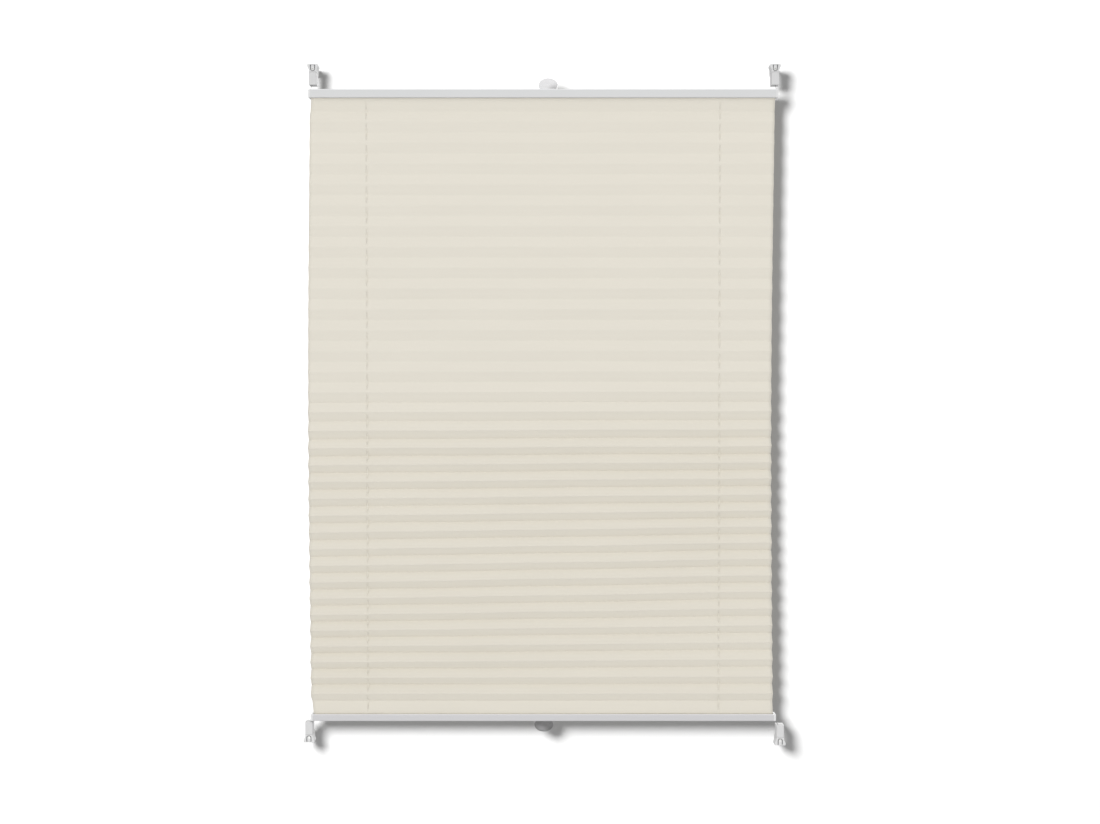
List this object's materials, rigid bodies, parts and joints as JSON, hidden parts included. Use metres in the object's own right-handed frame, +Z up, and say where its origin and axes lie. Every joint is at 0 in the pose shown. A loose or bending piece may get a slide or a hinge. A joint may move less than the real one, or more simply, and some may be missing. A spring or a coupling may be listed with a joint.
{
  "type": "pleated blind",
  "caption": "Pleated window blind with a folded cloth between slim white rails, held on tensioned cords by clamp-on sash brackets, with a small grip on each rail.",
  "frame": {"origin": "the middle of the whole blind's box, between the rails", "axes": "+Z up, +X to the right along the rails as seen from the room, +Y away from the room towards the window"},
  "size_m": [0.934, 0.0432, 1.3136],
  "materials": {
    "pleated_cloth": "crisp crush-free pleated polyester, cream",
    "white_cord": "fine braided polyester, white",
    "white_rail": "satin white paint on extruded aluminium",
    "end_cap": "moulded, matt white",
    "cord_guide": "moulded, smooth white",
    "end_strip": "extruded, white",
    "grip": "moulded, clear",
    "spring_wire": "drawn spring wire",
    "clamp_plastic": "moulded, matt white",
    "shoe_plastic": "moulded, matt white",
    "hook_metal": "bent sheet metal, painted white",
    "screw_steel": "zinc plated"
  },
  "bodies": {
    "clamps": {"upper_left_clamp": "clamp_plastic", "upper_left_shoe": "shoe_plastic", "upper_right_clamp": "clamp_plastic", "upper_right_shoe": "shoe_plastic", "lower_left_clamp": "clamp_plastic", "lower_left_shoe": "shoe_plastic", "lower_right_clamp": "clamp_plastic", "lower_right_shoe": "shoe_plastic", "left_cord_upper": "white_cord", "left_cord_lower": "white_cord", "right_cord_upper": "white_cord", "right_cord_lower": "white_cord"},
    "top_rail": {"top_rail": "white_rail", "top_strip": "end_strip", "top_left_cap": "end_cap", "top_right_cap": "end_cap", "top_left_guide": "cord_guide", "top_right_guide": "cord_guide", "pleated_cloth": "pleated_cloth"},
    "bottom_rail": {"bottom_rail": "white_rail", "bottom_strip": "end_strip", "bottom_left_cap": "end_cap", "bottom_right_cap": "end_cap", "bottom_left_guide": "cord_guide", "bottom_right_guide": "cord_guide"},
    "top_grip": {"top_grip": "grip"},
    "bottom_grip": {"bottom_grip": "grip"},
    "left_spring": {"left_spring": "spring_wire", "left_spring_plugs": "cord_guide"},
    "right_spring": {"right_spring": "spring_wire", "right_spring_plugs": "cord_guide"},
    "upper_left_hook": {"upper_left_hook": "hook_metal"},
    "upper_left_screw": {"upper_left_screw": "screw_steel"},
    "upper_right_hook": {"upper_right_hook": "hook_metal"},
    "upper_right_screw": {"upper_right_screw": "screw_steel"},
    "lower_left_hook": {"lower_left_hook": "hook_metal"},
    "lower_left_screw": {"lower_left_screw": "screw_steel"},
    "lower_right_hook": {"lower_right_hook": "hook_metal"},
    "lower_right_screw": {"lower_right_screw": "screw_steel"}
  },
  "joints": [
    {"name": "top_rail_slide", "type": "slide", "parent": "clamps", "child": "top_rail", "axis": [0, 0, -1], "range_m": [0, 0.565], "deforming": ["pleated_cloth", "left_cord_upper", "left_cord_lower", "right_cord_upper", "right_cord_lower"]},
    {"name": "bottom_rail_slide", "type": "slide", "parent": "clamps", "child": "bottom_rail", "axis": [0, 0, 1], "range_m": [0, 0.565], "deforming": ["pleated_cloth", "left_cord_lower", "right_cord_lower"]},
    {"name": "top_grip_slide", "type": "slide", "parent": "top_rail", "child": "top_grip", "axis": [1, 0, 0], "range_m": [-0.4, 0.4]},
    {"name": "bottom_grip_slide", "type": "slide", "parent": "bottom_rail", "child": "bottom_grip", "axis": [1, 0, 0], "range_m": [-0.4, 0.4]},
    {"name": "left_spring_slide", "type": "slide", "parent": "top_rail", "child": "left_spring", "axis": [-1, 0, 0], "range_m": [0, 0.565]},
    {"name": "right_spring_slide", "type": "slide", "parent": "top_rail", "child": "right_spring", "axis": [1, 0, 0], "range_m": [0, 0.565]},
    {"name": "upper_left_hook_slide", "type": "slide", "parent": "clamps", "child": "upper_left_hook", "axis": [0, -1, 0], "range_m": [-0.007, 0.003]},
    {"name": "upper_left_screw_turn", "type": "hinge", "parent": "clamps", "child": "upper_left_screw", "pos_m": [-0.4445, -0.0106, 0.64769], "axis": [0, 1, 0], "range_deg": [-3601, 1544]},
    {"name": "upper_right_hook_slide", "type": "slide", "parent": "clamps", "child": "upper_right_hook", "axis": [0, -1, 0], "range_m": [-0.007, 0.003]},
    {"name": "upper_right_screw_turn", "type": "hinge", "parent": "clamps", "child": "upper_right_screw", "pos_m": [0.4425, -0.0106, 0.64769], "axis": [0, 1, 0], "range_deg": [-3601, 1544]},
    {"name": "lower_left_hook_slide", "type": "slide", "parent": "clamps", "child": "lower_left_hook", "axis": [0, -1, 0], "range_m": [-0.007, 0.003]},
    {"name": "lower_left_screw_turn", "type": "hinge", "parent": "clamps", "child": "lower_left_screw", "pos_m": [-0.4565, -0.0106, -0.64169], "axis": [0, 1, 0], "range_deg": [-3601, 1544]},
    {"name": "lower_right_hook_slide", "type": "slide", "parent": "clamps", "child": "lower_right_hook", "axis": [0, -1, 0], "range_m": [-0.007, 0.003]},
    {"name": "lower_right_screw_turn", "type": "hinge", "parent": "clamps", "child": "lower_right_screw", "pos_m": [0.4565, -0.0106, -0.64769], "axis": [0, 1, 0], "range_deg": [-3601, 1544]}
  ],
  "couplings": [
    {"joint": "left_spring_slide", "follows": "top_rail_slide", "ratio": 1},
    {"joint": "right_spring_slide", "follows": "top_rail_slide", "ratio": 1},
    {"joint": "upper_left_screw_turn", "follows": "upper_left_hook_slide", "rad_per_m": 8976},
    {"joint": "upper_right_screw_turn", "follows": "upper_right_hook_slide", "rad_per_m": 8976},
    {"joint": "lower_left_screw_turn", "follows": "lower_left_hook_slide", "rad_per_m": 8976},
    {"joint": "lower_right_screw_turn", "follows": "lower_right_hook_slide", "rad_per_m": 8976}
  ]
}
